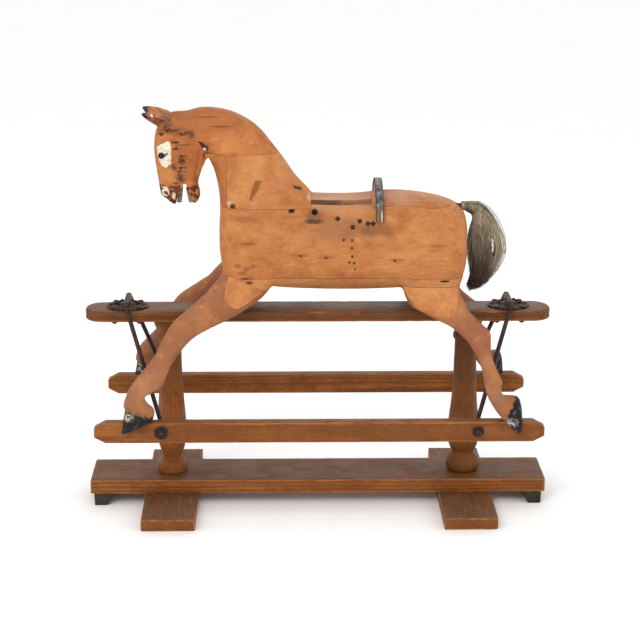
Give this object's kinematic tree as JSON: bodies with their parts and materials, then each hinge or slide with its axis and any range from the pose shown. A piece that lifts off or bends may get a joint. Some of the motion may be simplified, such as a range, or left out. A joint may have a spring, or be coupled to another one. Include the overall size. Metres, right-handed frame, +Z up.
{
  "type": "rocking horse",
  "caption": "Carved wooden rocking horse, stripped of its paint, that swings on two bent iron rods over a long board stand with turned posts and cross feet.",
  "frame": {"origin": "on the floor, under the middle of the stand", "axes": "+X along the stand from the head towards the tail, +Y across it away from the near side, +Z up"},
  "size_m": [1.2798, 0.54, 1.1052],
  "materials": {
    "horse_wood": "stripped pine, satin",
    "stand_wood": "aged, dark, worn on the edges",
    "batten_wood": "black stain",
    "cast_bracket": "rusted black",
    "wrought_iron": "rusted black",
    "saddle_leather": "dry and cracked",
    "eye_glass": "polished",
    "tooth_paint": "chipped white paint",
    "horsehair": "loose hair",
    "plug_wood": "dark"
  },
  "bodies": {
    "stand": {"base_board": "stand_wood", "front_foot": "stand_wood", "rear_foot": "stand_wood", "front_batten": "batten_wood", "rear_batten": "batten_wood", "foot_screws": "wrought_iron", "front_post": "stand_wood", "rear_post": "stand_wood", "top_rail": "stand_wood", "front_bracket": "cast_bracket", "rear_bracket": "cast_bracket", "bracket_bolts": "wrought_iron", "bracket_nuts": "wrought_iron"},
    "front_iron": {"front_iron": "wrought_iron", "front_washers": "wrought_iron", "front_nuts": "wrought_iron"},
    "rear_iron": {"rear_iron": "wrought_iron", "rear_washers": "wrought_iron", "rear_nuts": "wrought_iron"},
    "horse": {"near_hoof_rail": "stand_wood", "far_hoof_rail": "stand_wood", "hoof_screws": "wrought_iron", "bottom_board": "horse_wood", "near_fore_strip": "horse_wood", "far_fore_strip": "horse_wood", "near_hind_strip": "horse_wood", "far_hind_strip": "horse_wood", "near_side_board": "horse_wood", "far_side_board": "horse_wood", "chest_block": "horse_wood", "rump_block": "horse_wood", "seat_board": "horse_wood", "top_board": "horse_wood", "neck_block": "horse_wood", "throat_block": "horse_wood", "head_block": "horse_wood", "near_ear": "horse_wood", "far_ear": "horse_wood", "near_eye": "eye_glass", "far_eye": "eye_glass", "teeth": "tooth_paint", "near_fore_leg": "horse_wood", "far_fore_leg": "horse_wood", "near_hind_leg": "horse_wood", "far_hind_leg": "horse_wood", "near_shoulder_block": "horse_wood", "far_shoulder_block": "horse_wood", "near_thigh_block": "horse_wood", "far_thigh_block": "horse_wood", "cantle_board": "horse_wood", "cantle_binding": "saddle_leather", "saddle_studs": "wrought_iron", "bridle_tacks": "wrought_iron", "tail_plug": "plug_wood", "tail": "horsehair"}
  },
  "joints": [
    {"name": "front_swing", "type": "hinge", "parent": "stand", "child": "front_iron", "pos_m": [-0.525, 0, 0.573], "axis": [0, 1, 0], "range_deg": [-15, 15]},
    {"name": "horse_level", "type": "hinge", "parent": "front_iron", "child": "horse", "pos_m": [-0.425, 0, 0.266], "axis": [0, 1, 0], "range_deg": [-18.6, 18.6]},
    {"name": "rear_swing", "type": "hinge", "parent": "stand", "child": "rear_iron", "pos_m": [0.525, 0, 0.573], "axis": [0, 1, 0], "range_deg": [-15, 15]}
  ],
  "couplings": [
    {"joint": "horse_level", "follows": "front_swing", "ratio": -1.2353},
    {"joint": "rear_swing", "follows": "front_swing", "ratio": 1}
  ]
}
